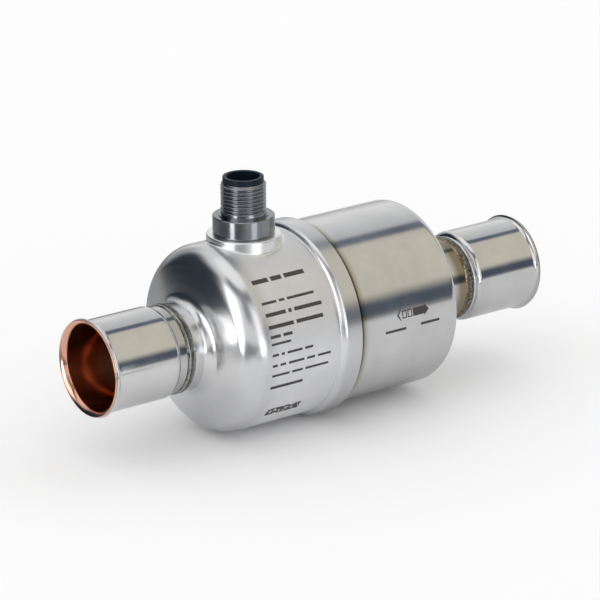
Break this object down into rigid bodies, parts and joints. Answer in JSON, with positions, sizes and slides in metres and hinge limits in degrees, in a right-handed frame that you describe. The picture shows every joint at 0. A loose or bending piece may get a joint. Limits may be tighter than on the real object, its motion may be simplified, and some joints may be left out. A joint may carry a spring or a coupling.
{
  "type": "electronic expansion valve",
  "caption": "In-line stainless electronic expansion valve with copper-lined brazing sockets, round top connector, and a stepper-driven ported piston inside.",
  "frame": {"origin": "on the flow axis, where the straight wall of the inlet socket starts behind its flared lip", "axes": "+X along the flow axis from inlet to outlet, +Z along the connector, +Y completes the right-handed frame"},
  "size_m": [0.141, 0.0524, 0.0682],
  "materials": {
    "polished_steel": "drawn stainless, lightly polished",
    "satin_steel": "satin stainless",
    "turned_steel": "turned",
    "weld_steel": "as welded, heat tinted",
    "copper": "drawn copper",
    "copper_winding": "enamelled wire",
    "black_plastic": "moulded",
    "gold_contact": "plated",
    "sealing_glass": "fused",
    "lead_sheath": "extruded",
    "black_rubber": "moulded",
    "cast_aluminium": "cast and turned",
    "electrical_steel": "stacked laminations",
    "magnet": "sintered",
    "bearing_steel": "ground",
    "white_polymer": "turned fluoropolymer",
    "valve_brass": "turned"
  },
  "bodies": {
    "housing": {"inlet_sleeve": "polished_steel", "inlet_liner": "copper", "inlet_weld": "weld_steel", "front_housing": "satin_steel", "seam_weld": "weld_steel", "rear_can": "polished_steel", "outlet_weld": "weld_steel", "outlet_sleeve": "polished_steel", "outlet_liner": "copper", "connector_shell": "turned_steel", "connector_insert": "black_plastic", "contact_pins": "gold_contact", "glass_seal": "sealing_glass", "motor_leads": "lead_sheath", "lead_grommet": "black_rubber", "motor_case": "turned_steel", "rear_cap": "cast_aluminium", "front_cap": "cast_aluminium", "stator_stack": "electrical_steel", "stator_coils": "copper_winding", "rear_bearing_outer": "bearing_steel", "front_bearing_outer": "bearing_steel", "preload_washer": "bearing_steel", "carrier_plate": "turned_steel", "carrier_screws": "turned_steel", "guide_pins": "bearing_steel", "port_sleeve": "turned_steel", "seat_ring": "white_polymer", "sleeve_ring": "black_rubber"},
    "rotor": {"spindle": "turned_steel", "rotor_cup_rear": "electrical_steel", "rotor_cup_front": "electrical_steel", "rotor_magnet": "magnet", "rear_bearing_inner": "bearing_steel", "front_bearing_inner": "bearing_steel"},
    "ball_sets": {"rear_bearing_balls": "bearing_steel", "front_bearing_balls": "bearing_steel"},
    "valve_piston": {"piston": "valve_brass", "piston_seal": "white_polymer", "lead_nut": "valve_brass"}
  },
  "joints": [
    {"name": "rotor_spin", "type": "hinge", "parent": "housing", "child": "rotor", "pos_m": [0.04854, 0, 0], "axis": [1, 0, 0], "range_deg": [0, 1080]},
    {"name": "ball_orbit", "type": "hinge", "parent": "housing", "child": "ball_sets", "pos_m": [0.04854, 0, 0], "axis": [1, 0, 0], "range_deg": [0, 416]},
    {"name": "piston_slide", "type": "slide", "parent": "housing", "child": "valve_piston", "axis": [-1, 0, 0], "range_m": [0, 0.012]}
  ],
  "couplings": [
    {"joint": "rotor_spin", "follows": "piston_slide", "rad_per_m": 1570.8},
    {"joint": "ball_orbit", "follows": "piston_slide", "rad_per_m": 603.52}
  ]
}
